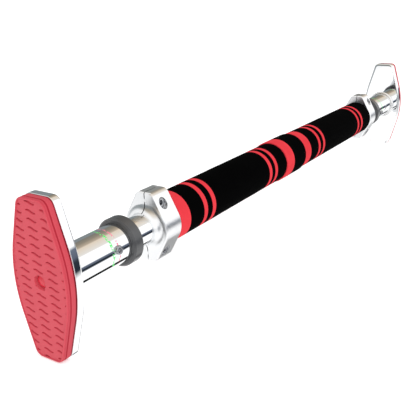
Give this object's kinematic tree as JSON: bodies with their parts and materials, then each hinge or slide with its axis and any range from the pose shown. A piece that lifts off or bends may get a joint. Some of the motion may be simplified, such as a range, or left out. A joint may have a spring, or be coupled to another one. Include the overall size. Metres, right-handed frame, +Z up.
{
  "type": "pull up bar",
  "caption": "Telescopic doorway pull up bar with padded end plates, split locking clamps and a foam grip bar that turns to extend it.",
  "frame": {"origin": "the middle of the whole length, on the bar's axis", "axes": "+X along the bar to the right end, -Y to the clamp screws' heads, +Z up"},
  "size_m": [0.8468, 0.0626, 0.1436],
  "materials": {
    "pad_rubber": "moulded red rubber with a raised wave tread",
    "plug_rubber": "moulded red rubber, smooth",
    "chrome": "bright chrome plate on steel",
    "weld": "ground weld bead under the chrome plate",
    "collar_plastic": "dark grey satin moulded plastic",
    "bush_plastic": "natural white bearing plastic",
    "screw_steel": "zinc plated socket screws",
    "plain_steel": "oiled machined steel",
    "brass": "machined nut",
    "foam_black": "closed-cell black foam grip",
    "foam_red": "closed-cell red foam ring"
  },
  "bodies": {
    "left_end": {"left_pad": "pad_rubber", "left_pad_plug": "plug_rubber", "left_tray": "chrome", "left_weld_bead": "weld", "left_sleeve_tube": "chrome", "left_collar": "collar_plastic", "left_spacer_bush": "bush_plastic", "left_sleeve_screw": "screw_steel", "left_inner_tube": "chrome", "left_spindle_plug": "plain_steel", "left_spindle": "plain_steel"},
    "left_clamp": {"left_rear_jaw": "chrome", "left_key": "plain_steel", "left_clamp_nuts": "screw_steel"},
    "left_clamp_front": {"left_front_jaw": "chrome"},
    "left_upper_screw": {"left_upper_clamp_screw": "screw_steel"},
    "left_lower_screw": {"left_lower_clamp_screw": "screw_steel"},
    "right_end": {"right_pad": "pad_rubber", "right_pad_plug": "plug_rubber", "right_tray": "chrome", "right_weld_bead": "weld", "right_sleeve_tube": "chrome", "right_collar": "collar_plastic", "right_spacer_bush": "bush_plastic", "right_sleeve_screw": "screw_steel", "right_inner_tube": "chrome", "right_spindle_plug": "plain_steel", "right_spindle": "plain_steel"},
    "right_clamp": {"right_rear_jaw": "chrome", "right_key": "plain_steel", "right_clamp_nuts": "screw_steel"},
    "right_clamp_front": {"right_front_jaw": "chrome"},
    "right_upper_screw": {"right_upper_clamp_screw": "screw_steel"},
    "right_lower_screw": {"right_lower_clamp_screw": "screw_steel"},
    "bar": {"main_tube": "chrome", "left_guide_bush": "bush_plastic", "right_guide_bush": "bush_plastic", "left_drive_nut": "brass", "right_drive_nut": "brass", "left_nut_pins": "plain_steel", "right_nut_pins": "plain_steel", "left_end_ring": "foam_red", "left_grip": "foam_black", "right_grip": "foam_black", "left_centre_ring": "foam_red", "right_centre_ring": "foam_red", "centre_band": "foam_black", "left_outer_stripes": "foam_red", "left_inner_stripes": "foam_red", "right_inner_stripes": "foam_red", "right_outer_stripes": "foam_red"}
  },
  "joints": [
    {"name": "left_extension", "type": "slide", "parent": "left_end", "child": "left_clamp", "axis": [1, 0, 0], "range_m": [-0.005, 0.04]},
    {"name": "bar_turn", "type": "hinge", "parent": "left_clamp", "child": "bar", "pos_m": [0.0072, 0, 0], "axis": [1, 0, 0], "range_deg": [-360, 2880]},
    {"name": "right_clamp_turn", "type": "hinge", "parent": "bar", "child": "right_clamp", "pos_m": [0.3002, 0, 0], "axis": [1, 0, 0], "range_deg": [-2880, 360]},
    {"name": "right_extension", "type": "slide", "parent": "right_clamp", "child": "right_end", "axis": [1, 0, 0], "range_m": [-0.005, 0.04]},
    {"name": "left_jaw_release", "type": "slide", "parent": "left_clamp", "child": "left_clamp_front", "axis": [0, -1, 0], "range_m": [0, 0.0015]},
    {"name": "left_upper_screw_turn", "type": "hinge", "parent": "left_clamp_front", "child": "left_upper_screw", "pos_m": [-0.2768, -0.007, 0.0245], "axis": [0, -1, 0], "range_deg": [0, 540]},
    {"name": "left_lower_screw_turn", "type": "hinge", "parent": "left_clamp_front", "child": "left_lower_screw", "pos_m": [-0.2768, -0.007, -0.0245], "axis": [0, -1, 0], "range_deg": [0, 540]},
    {"name": "right_jaw_release", "type": "slide", "parent": "right_clamp", "child": "right_clamp_front", "axis": [0, -1, 0], "range_m": [0, 0.0015]},
    {"name": "right_upper_screw_turn", "type": "hinge", "parent": "right_clamp_front", "child": "right_upper_screw", "pos_m": [0.2912, -0.007, 0.0245], "axis": [0, -1, 0], "range_deg": [0, 540]},
    {"name": "right_lower_screw_turn", "type": "hinge", "parent": "right_clamp_front", "child": "right_lower_screw", "pos_m": [0.2912, -0.007, -0.0245], "axis": [0, -1, 0], "range_deg": [0, 540]}
  ],
  "couplings": [
    {"joint": "left_extension", "follows": "bar_turn", "m_per_rad": 0.00079577},
    {"joint": "right_clamp_turn", "follows": "bar_turn", "ratio": -1},
    {"joint": "right_extension", "follows": "bar_turn", "m_per_rad": 0.00079577},
    {"joint": "left_upper_screw_turn", "follows": "left_jaw_release", "rad_per_m": 6283.2},
    {"joint": "left_lower_screw_turn", "follows": "left_jaw_release", "rad_per_m": 6283.2},
    {"joint": "right_upper_screw_turn", "follows": "right_jaw_release", "rad_per_m": 6283.2},
    {"joint": "right_lower_screw_turn", "follows": "right_jaw_release", "rad_per_m": 6283.2}
  ]
}
